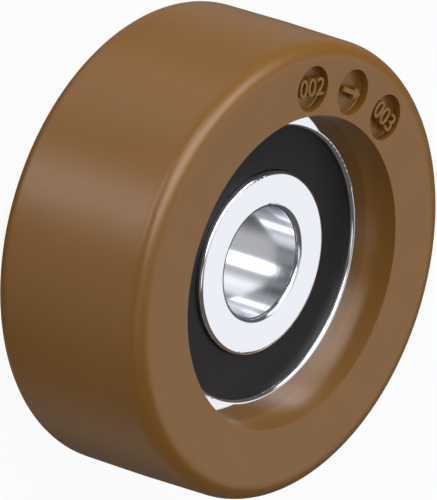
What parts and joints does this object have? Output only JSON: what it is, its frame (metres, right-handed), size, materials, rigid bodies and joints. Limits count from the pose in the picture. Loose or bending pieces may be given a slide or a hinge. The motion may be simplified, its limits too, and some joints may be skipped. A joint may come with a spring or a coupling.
{
  "type": "guide roller",
  "caption": "Guide roller with a soft brown moulded tread on a hard core, turning on a sealed deep groove ball bearing with a plain bore for an axle.",
  "frame": {"origin": "middle of the bearing, on the axle line and halfway between the side faces", "axes": "+Z along the axle towards the side with the mark pockets; the middle pocket is on the -X side"},
  "size_m": [0.05, 0.05, 0.02],
  "materials": {
    "tread": "satin moulded polyurethane, brown",
    "core": "moulded nylon, natural",
    "ring_steel": "ground and polished bearing steel",
    "ball_steel": "polished bearing steel",
    "cage_steel": "pressed sheet steel",
    "seal_rubber": "matt black nitrile rubber"
  },
  "bodies": {
    "inner_ring": {"inner_ring": "ring_steel"},
    "wheel": {"tread": "tread", "core": "core", "outer_ring": "ring_steel", "seal_front": "seal_rubber", "seal_rear": "seal_rubber", "seal_insert_front": "cage_steel", "seal_insert_rear": "cage_steel"},
    "cage": {"cage_front": "cage_steel", "cage_rear": "cage_steel", "cage_rivets": "cage_steel"},
    "ball_1": {"ball_1": "ball_steel"},
    "ball_2": {"ball_2": "ball_steel"},
    "ball_3": {"ball_3": "ball_steel"},
    "ball_4": {"ball_4": "ball_steel"},
    "ball_5": {"ball_5": "ball_steel"},
    "ball_6": {"ball_6": "ball_steel"}
  },
  "joints": [
    {"name": "wheel_spin", "type": "hinge", "parent": "inner_ring", "child": "wheel", "pos_m": [0, 0, 0], "axis": [0, 0, 1], "continuous": true},
    {"name": "cage_spin", "type": "hinge", "parent": "inner_ring", "child": "cage", "pos_m": [0, 0, 0], "axis": [0, 0, 1], "continuous": true},
    {"name": "ball_1_spin", "type": "hinge", "parent": "cage", "child": "ball_1", "pos_m": [0.01225, 0, 0], "axis": [0, 0, 1], "continuous": true},
    {"name": "ball_2_spin", "type": "hinge", "parent": "cage", "child": "ball_2", "pos_m": [0.00613, 0.01061, 0], "axis": [0, 0, 1], "continuous": true},
    {"name": "ball_3_spin", "type": "hinge", "parent": "cage", "child": "ball_3", "pos_m": [-0.00613, 0.01061, 0], "axis": [0, 0, 1], "continuous": true},
    {"name": "ball_4_spin", "type": "hinge", "parent": "cage", "child": "ball_4", "pos_m": [-0.01225, 0, 0], "axis": [0, 0, 1], "continuous": true},
    {"name": "ball_5_spin", "type": "hinge", "parent": "cage", "child": "ball_5", "pos_m": [-0.00613, -0.01061, 0], "axis": [0, 0, 1], "continuous": true},
    {"name": "ball_6_spin", "type": "hinge", "parent": "cage", "child": "ball_6", "pos_m": [0.00613, -0.01061, 0], "axis": [0, 0, 1], "continuous": true}
  ],
  "couplings": [
    {"joint": "cage_spin", "follows": "wheel_spin", "ratio": 0.662},
    {"joint": "ball_1_spin", "follows": "wheel_spin", "ratio": 1.3812},
    {"joint": "ball_2_spin", "follows": "wheel_spin", "ratio": 1.3812},
    {"joint": "ball_3_spin", "follows": "wheel_spin", "ratio": 1.3812},
    {"joint": "ball_4_spin", "follows": "wheel_spin", "ratio": 1.3812},
    {"joint": "ball_5_spin", "follows": "wheel_spin", "ratio": 1.3812},
    {"joint": "ball_6_spin", "follows": "wheel_spin", "ratio": 1.3812}
  ]
}
